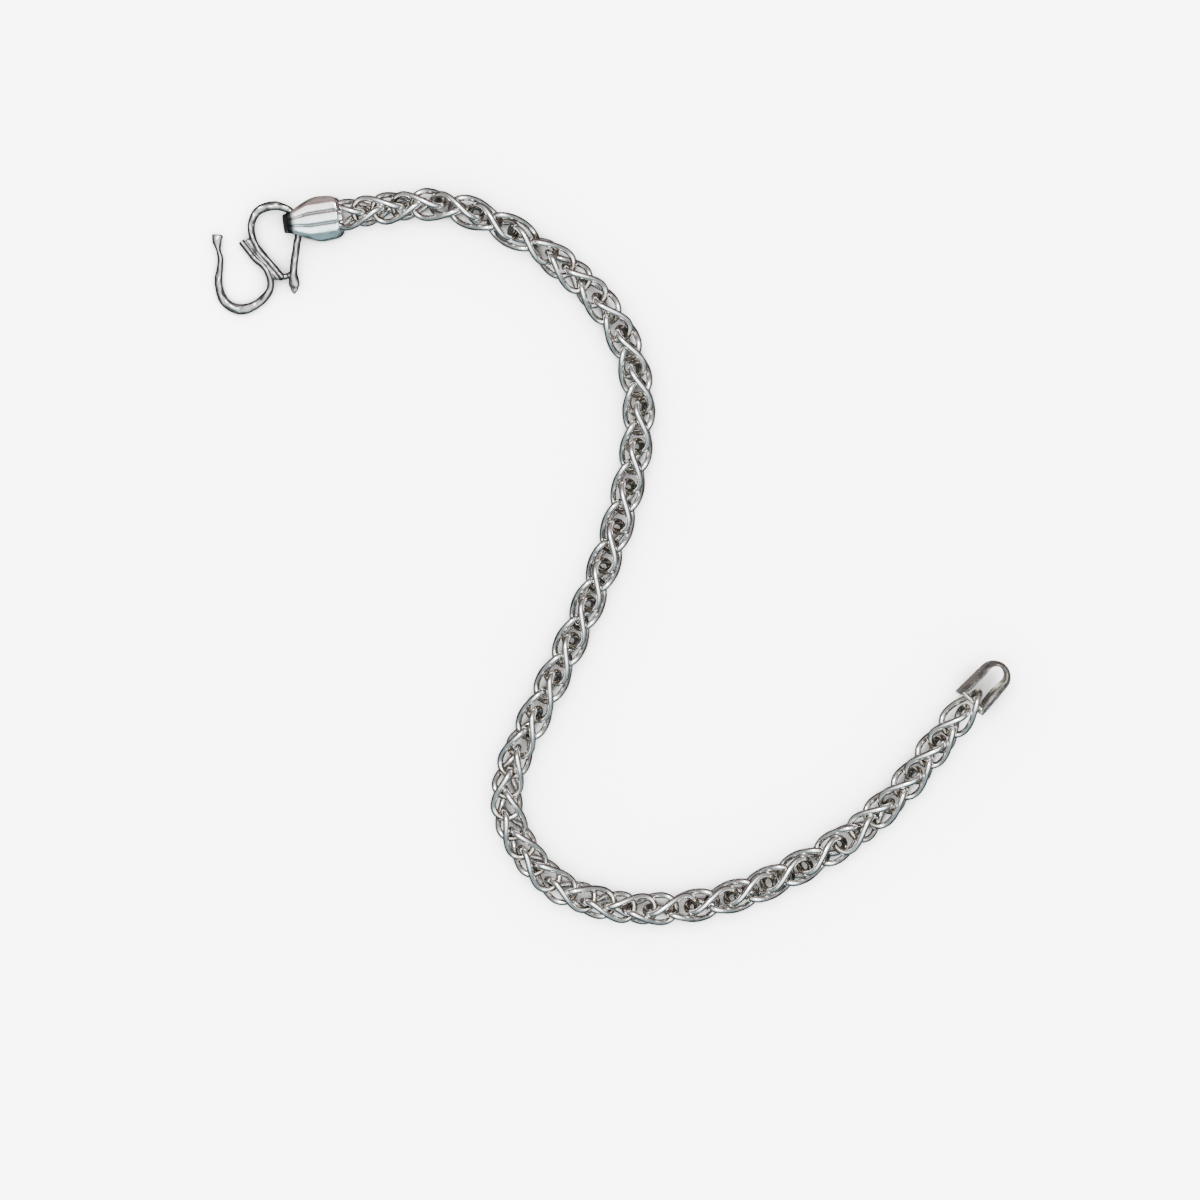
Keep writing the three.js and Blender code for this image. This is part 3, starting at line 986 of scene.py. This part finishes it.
def cap_sheet(which, flute):
    """Middle surface of the folded sheet as rows of points in mm, from the upper mouth
    round the fold to the lower mouth, with each row's part of the cap's length."""
    slope = cap_slope(which)
    run = CAP_LENGTH[which] - fold_centre()
    leg = math.sqrt(MOUTH_HALF_HEIGHT[which] ** 2 + run**2 - FOLD_RADIUS**2)
    start = math.pi / 2 + slope
    turn = 2 * math.pi - 2 * start
    stations = []  # angle round the fold, part of the leg, which leg
    for i in range(LEG_STATIONS):
        stations.append((start, 1 - i / LEG_STATIONS, 1))
    for i in range(FOLD_STATIONS + 1):
        stations.append((start + turn * i / FOLD_STATIONS, 0, 1))
    for i in range(1, LEG_STATIONS + 1):
        stations.append((2 * math.pi - start, i / LEG_STATIONS, -1))
    rows, shares = [], []
    sections = np.array(CAP_SECTIONS[which])
    for angle, part, side in stations:
        along = fold_centre() + FOLD_RADIUS * math.cos(angle)
        along += part * leg * math.cos(slope)
        height = FOLD_RADIUS * math.sin(angle) + side * part * leg * math.sin(slope)
        share = min(max(along / CAP_LENGTH[which], 0), 1)
        width = float(cubic(sections[:, 0], sections[:, 1], share))
        dome = float(cubic(sections[:, 0], sections[:, 2], share))
        fade = flute * smoothstep(share, *FLUTE_STARTS)
        half = leaf_columns(width)
        row = []
        for across in [-a for a in reversed(half[1:])] + half:
            drop = leaf_drop(across, width, dome, fade)
            row.append(
                (
                    along - math.cos(angle) * drop,
                    across,
                    height - math.sin(angle) * drop,
                )
            )
        rows.append(row)
        shares.append(share)
    return rows, shares


def cubic(keys, values, key):
    """A smooth line through a few values, without overshooting past its ends."""
    keys, values = np.asarray(keys, float), np.asarray(values, float)
    i = int(np.clip(np.searchsorted(keys, key) - 1, 0, len(keys) - 2))
    slopes = np.gradient(values, keys)
    span = keys[i + 1] - keys[i]
    t = (key - keys[i]) / span
    return (
        (2 * t**3 - 3 * t**2 + 1) * values[i]
        + (t**3 - 2 * t**2 + t) * span * slopes[i]
        + (3 * t**2 - 2 * t**3) * values[i + 1]
        + (t**3 - t**2) * span * slopes[i + 1]
    )


def rivet_tube(which, radius):
    """The rivet through a cap's two leaves, in mm, flared at both ends."""
    slope, at = cap_slope(which), RIVET_FROM_FOLD[which]
    reach = FOLD_RADIUS / math.cos(slope) + (at - fold_centre()) * math.tan(slope)
    end, neck = reach - RIVET_END, reach - RIVET_NECK
    rings = []
    for height, wide in (
        (-end, RIVET_HEAD * radius),
        (-neck, radius),
        (neck, radius),
        (end, RIVET_HEAD * radius),
    ):
        turns = [math.tau * j / RIVET_SIDES for j in range(RIVET_SIDES)]
        rings.append(
            [(at + wide * math.cos(t), wide * math.sin(t), height) for t in turns]
        )
    return tube(rings)


class BRACELET_OT_caps(bpy.types.Operator):
    """Build the two folded end caps"""

    bl_idname = "bracelet.caps"
    bl_label = "End Caps"

    def execute(self, context):
        caps = context.scene.bracelet_caps
        shift = Matrix.Translation(frame_shift())
        for which, (painted_fold_shade, dullness_and_shade, painted_shade_colour) in CAP_LOOKS.items():
            node = which + "_cap"
            rows, shares = cap_sheet(which, caps.flute / MM)
            place = Matrix.Scale(MM, 4) @ shift @ cap_place(which)
            vertices = [place @ Vector(p) for row in rows for p in row]
            count = len(rows[0])
            faces = grid_faces(len(rows), count)
            leaf = mesh_object(node + "_leaf", vertices, faces)
            # painted shade: the fold is darkened, fading out towards the mouth
            dark = leaf.data.attributes.new("hidden", "FLOAT", "POINT")
            fold = [painted_fold_shade * (1 - smoothstep(s, *PAINTED_FOLD_SHADE_ENDS)) for s in shares]
            dark.data.foreach_set("value", [f for f in fold for _ in range(count)])
            # painted reflection: the tints' place from one long edge to the other
            side = leaf.data.attributes.new("side", "FLOAT", "POINT")
            side.data.foreach_set(
                "value", [2 * j / (count - 1) - 1 for _ in rows for j in range(count)]
            )
            solid = leaf.modifiers.new("Sheet", "SOLIDIFY")
            solid.thickness = caps.sheet
            solid.offset = 0.0
            bevel = leaf.modifiers.new("Rounded Edge", "BEVEL")
            bevel.width = EDGE_ROUNDING * MM
            bevel.segments = 3
            bevel.limit_method = "ANGLE"
            bevel.angle_limit = EDGE_ANGLE
            plain_mesh(leaf)
            face_outwards(leaf)
            points, faces = rivet_tube(which, caps.rivet / MM)
            vertices = [place @ Vector(p) for p in points]
            rivet = mesh_object(node + "_rivet", vertices, faces)
            face_outwards(rivet)
            material = silver_material(
                node.replace("_", " ").title() + " Silver",
                roughness_change=dullness_and_shade,
                scratch=0.05,
                dent=0.04,
                painted_shade_colour=painted_shade_colour,
                reflection_tints=CAP_REFLECTION_TINTS[which],
            )
            for thing in (leaf, rivet):
                thing.data.materials.append(material)
                shade_smooth(thing)
                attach(thing, "bracelet")
            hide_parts(node)
        return {"FINISHED"}


# ---- S-hook --------------------------------------------------------------------------


def wire_tube(rows, sides=20, steps=9):
    """A wire through the rows' points in the plane z = 0, with an oval section."""
    line = catmull([(x, y, 0) for x, y, _, _ in rows], steps)
    sizes = []
    for (_, _, wide, thick), (_, _, next_wide, next_thick) in zip(rows, rows[1:]):
        for i in range(steps):
            t = smoothstep(i / steps, 0, 1)
            sizes.append(
                (wide + (next_wide - wide) * t, thick + (next_thick - thick) * t)
            )
    sizes.append(rows[-1][2:])
    rings = []
    for i, (centre, (wide, thick)) in enumerate(zip(line, sizes)):
        before, after = line[max(i - 1, 0)], line[min(i + 1, len(line) - 1)]
        along = Vector(after - before).normalized()
        aside = Vector((0, 0, 1)).cross(along)
        rings.append(
            [
                Vector(centre)
                + aside * (wide / 2 * math.cos(math.tau * j / sides))
                + Vector((0, 0, thick / 2 * math.sin(math.tau * j / sides)))
                for j in range(sides)
            ]
        )
    return tube(rings)


def ball(x, y, radius, flat=0.72, rings=10, sides=16):
    """A flattened bead of solder."""
    rows = []
    for i in range(1, rings):
        angle = math.pi * i / rings
        rows.append(
            [
                (
                    x + radius * math.sin(angle) * math.cos(math.tau * j / sides),
                    y + radius * math.sin(angle) * math.sin(math.tau * j / sides),
                    -radius * flat * math.cos(angle),
                )
                for j in range(sides)
            ]
        )
    return tube(rows)


def strip_tube():
    """The flat strip that fills the slot between the two wires."""
    (x0, y0), (x1, y1) = STRIP_ENDS
    rows = [
        (x0 + (x1 - x0) * t, y0 + (y1 - y0) * t, *STRIP_SECTION)
        for t in (0, 0.33, 0.66, 1)
    ]
    return wire_tube(rows, sides=12, steps=4)


def hammer(thing, depth):
    """Uneven hammering over the whole wire. Painted shade darkens its sides, most those
    that face -X, and leaves its upper and lower face bright; the hammering adds a
    little uneven tone."""
    mesh = thing.data
    count = len(mesh.vertices)
    places, normals = np.empty(count * 3), np.empty(count * 3)
    mesh.vertices.foreach_get("co", places)
    mesh.vertices.foreach_get("normal", normals)
    places, normals = places.reshape(-1, 3), normals.reshape(-1, 3)
    x, y, z = (places / MM).T
    waves = sum(
        height * np.sin(fx * x + fy * y + fz * z + phase)
        for height, fx, fy, fz, phase in HAMMER_WAVES
    )
    places += normals * (depth * HAMMER_SHARE * waves)[:, None]
    mesh.vertices.foreach_set("co", places.ravel())
    # painted shade: darker the more a normal lies sideways, and more towards -X
    side = np.clip((SIDE_STARTS - np.abs(normals[:, 2])) / SIDE_SPAN, 0, 1)
    dullness_and_shade = (SHADE_ON_SIDES - SHADE_AGAINST_X * normals[:, 0]) * side**SIDE_POWER
    dullness_and_shade += PATINA_IN_WAVES * waves + PATINA_EVERYWHERE
    mesh.attributes.new("hidden", "FLOAT", "POINT").data.foreach_set("value", dullness_and_shade)
    mesh.update()


class BRACELET_OT_hook(bpy.types.Operator):
    """Build the soldered S-hook"""

    bl_idname = "bracelet.hook"
    bl_label = "S-Hook"

    def execute(self, context):
        eye = Vector(HINGE["pos_m"])
        across = Vector(HINGE["axis"]).normalized()
        lean = Matrix.Rotation(-HOOK_LEAN, 4, across)
        place = Matrix.Translation(eye) @ lean @ Matrix.Scale(MM, 4)
        vertices, faces = merge(
            [
                wire_tube(LOWER_WIRE),
                wire_tube(UPPER_WIRE),
                strip_tube(),
                *[ball(*spot) for spot in SOLDER_SPOTS],
            ]
        )
        hook = mesh_object("s_hook_wire", [place @ Vector(v) for v in vertices], faces)
        face_outwards(hook)
        blend = hook.modifiers.new("Solder", "REMESH")
        blend.mode = "VOXEL"
        blend.voxel_size = context.scene.bracelet_hook.solder_grain
        polish = hook.modifiers.new("Polish", "SMOOTH")
        polish.factor = 0.5
        polish.iterations = 4
        plain_mesh(hook)
        hammer(hook, context.scene.bracelet_hook.hammering)
        material = silver_material(
            "S Hook Silver",
            roughness_change=0.05,
            scratch=0.25,
            dent=1.0,
            shade=0.27,
            # painted shade colour of the hook's sides
            painted_shade_colour=(0.1, 0.088, 0.075),
        )
        hook.data.materials.clear()
        hook.data.materials.append(material)
        shade_smooth(hook)
        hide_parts("s_hook")
        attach(hook, "hook")
        return {"FINISHED"}


# ---- stage ---------------------------------------------------------------------------


def floor_material():
    """Matt pale surface with a painted contact shadow: dark only where something lies
    close over it.
    """
    material = bpy.data.materials.new("Pale Surface")
    material.use_nodes = True
    nodes = Nodes(material.node_tree)
    output = nodes.add("ShaderNodeOutputMaterial")
    shader = nodes.add("ShaderNodeBsdfPrincipled", Roughness=0.7)
    shader.inputs["Specular IOR Level"].default_value = 0.1
    nodes.link(shader.outputs["BSDF"], output.inputs["Surface"])
    # painted shadow: the surface's colour darkens where ambient occlusion finds the
    # bracelet close over it
    close = nodes.add("ShaderNodeAmbientOcclusion", samples=8, Distance=3 * MM)
    unshadowed = nodes.ramp(close.outputs["AO"], low=0.25, high=0.9, smooth=True)
    colour = nodes.blend(unshadowed, (0.05, 0.045, 0.04), (0.94, 0.94, 0.94))
    nodes.link(colour, shader.inputs["Base Color"])
    return material


def room_light():
    """A pale room for the surface. The silver mirrors a white ceiling, patchy walls
    that are cooler on one side and warmer on the other, and a dark ground."""
    world = bpy.data.worlds.new("Soft Room")
    world.use_nodes = True
    nodes = Nodes(world.node_tree)
    output = nodes.add("ShaderNodeOutputWorld")
    place = nodes.add("ShaderNodeTexCoord").outputs["Generated"]
    split = nodes.add("ShaderNodeSeparateXYZ")
    nodes.link(place, split.inputs["Vector"])

    height = nodes.scaled(split.outputs["Z"], factor=0.5, offset=0.5)
    clutter = nodes.add("ShaderNodeTexNoise", Scale=2.6, Detail=4.0, Roughness=0.65)
    nodes.link(place, clutter.inputs["Vector"])
    lift = nodes.scaled(clutter.outputs["Fac"], factor=0.3, offset=-0.15)
    bright = nodes.add("ShaderNodeValToRGB")
    fill_ramp(bright.color_ramp, ROOM_STOPS)
    nodes.link(nodes.total(height, lift), bright.inputs["Fac"])

    side = nodes.ramp(split.outputs["Y"], low=-0.75, high=0.75)
    tint = nodes.blend(side, COOL_SIDE, WARM_SIDE)
    ceiling = nodes.ramp(height, low=0.8, high=0.97)
    tint = nodes.blend(ceiling, tint, (1, 1, 1))
    colour = nodes.blend(1.0, tint, bright.outputs["Color"], blend_type="MULTIPLY")

    seen = nodes.add("ShaderNodeBackground", Strength=5.0)
    nodes.link(colour, seen.inputs["Color"])
    lit = nodes.add("ShaderNodeBackground", Strength=8.0, Color=(1, 1, 1, 1))
    path = nodes.add("ShaderNodeLightPath")
    either = nodes.add("ShaderNodeMixShader")
    nodes.link(path.outputs["Is Glossy Ray"], either.inputs["Fac"])
    nodes.link(lit.outputs["Background"], either.inputs[1])
    nodes.link(seen.outputs["Background"], either.inputs[2])
    nodes.link(either.outputs["Shader"], output.inputs["Surface"])
    bpy.context.scene.world = world


def soft_lamp():
    """One broad lamp, high up and towards +Y, for the brightest lines."""
    lamp = bpy.data.lights.new("Soft Lamp", "AREA")
    lamp.shape = "DISK"
    lamp.size = LAMP_SIZE
    lamp.energy = LAMP_POWER
    thing = bpy.data.objects.new("Soft Lamp", lamp)
    thing.location = LAMP_PLACE
    thing.rotation_euler = (-Vector(LAMP_PLACE)).to_track_quat("-Z", "Y").to_euler()
    bpy.context.scene.collection.objects.link(thing)


def fill_ramp(ramp, stops):
    """Sets a ramp to grey stops given as (position, value)."""
    while len(ramp.elements) < len(stops):
        ramp.elements.new(0.5)
    for element, (position, value) in zip(ramp.elements, stops):
        element.position = position
        element.color = (value, value, value, 1)


class BRACELET_OT_stage(bpy.types.Operator):
    """Set the pale surface, the soft light and the camera"""

    bl_idname = "bracelet.stage"
    bl_label = "Surface, Light and Camera"

    def execute(self, context):
        half = SURFACE_HALF
        floor = mesh_object(
            "surface",
            [(-half, -half, 0), (half, -half, 0), (half, half, 0), (-half, half, 0)],
            [(0, 1, 2, 3)],
        )
        floor.data.materials.append(floor_material())
        floor.visible_glossy = False
        room_light()
        soft_lamp()

        camera = bpy.data.cameras.new("straight down")
        camera.sensor_width = SENSOR_WIDTH
        camera.lens = SENSOR_WIDTH * CAMERA_HEIGHT / VIEW_WIDTH
        camera.clip_start = 0.01
        camera.clip_end = 10.0
        viewer = bpy.data.objects.new("straight down", camera)
        context.scene.collection.objects.link(viewer)
        viewer.location = [value * MM for value in (*VIEW_CENTRE, CAMERA_HEIGHT)]
        context.scene.camera = viewer
        return {"FINISHED"}


# ---- panel, registration and run -----------------------------------------------------


class BRACELET_PT_panel(bpy.types.Panel):
    """Sizes, colours and build steps of the bracelet"""

    bl_label = "Bracelet"
    bl_idname = "BRACELET_PT_panel"
    bl_space_type = "VIEW_3D"
    bl_region_type = "UI"
    bl_category = "Bracelet"

    def draw(self, context):
        for group in GROUPS:
            box = self.layout.box()
            settings = getattr(context.scene, group)
            for name in settings.__annotations__:
                box.prop(settings, name)
        for operator in OPERATORS:
            self.layout.operator(operator.bl_idname)


GROUPS = {
    "bracelet_chain": ChainSettings,
    "bracelet_caps": CapSettings,
    "bracelet_hook": HookSettings,
    "bracelet_silver": SilverSettings,
}
OPERATORS = (
    BRACELET_OT_chain,
    BRACELET_OT_caps,
    BRACELET_OT_hook,
    BRACELET_OT_stage,
)


def register():
    for made in (*GROUPS.values(), *OPERATORS, BRACELET_PT_panel):
        bpy.utils.register_class(made)
    for name, group in GROUPS.items():
        setattr(bpy.types.Scene, name, bpy.props.PointerProperty(type=group))


def unregister():
    for name in GROUPS:
        delattr(bpy.types.Scene, name)
    for made in (BRACELET_PT_panel, *OPERATORS, *GROUPS.values()):
        bpy.utils.unregister_class(made)


def main():
    register()
    bpy.ops.bracelet.stage()
    bpy.ops.bracelet.chain()
    bpy.ops.bracelet.caps()
    bpy.ops.bracelet.hook()


if __name__ == "__main__":
    main()
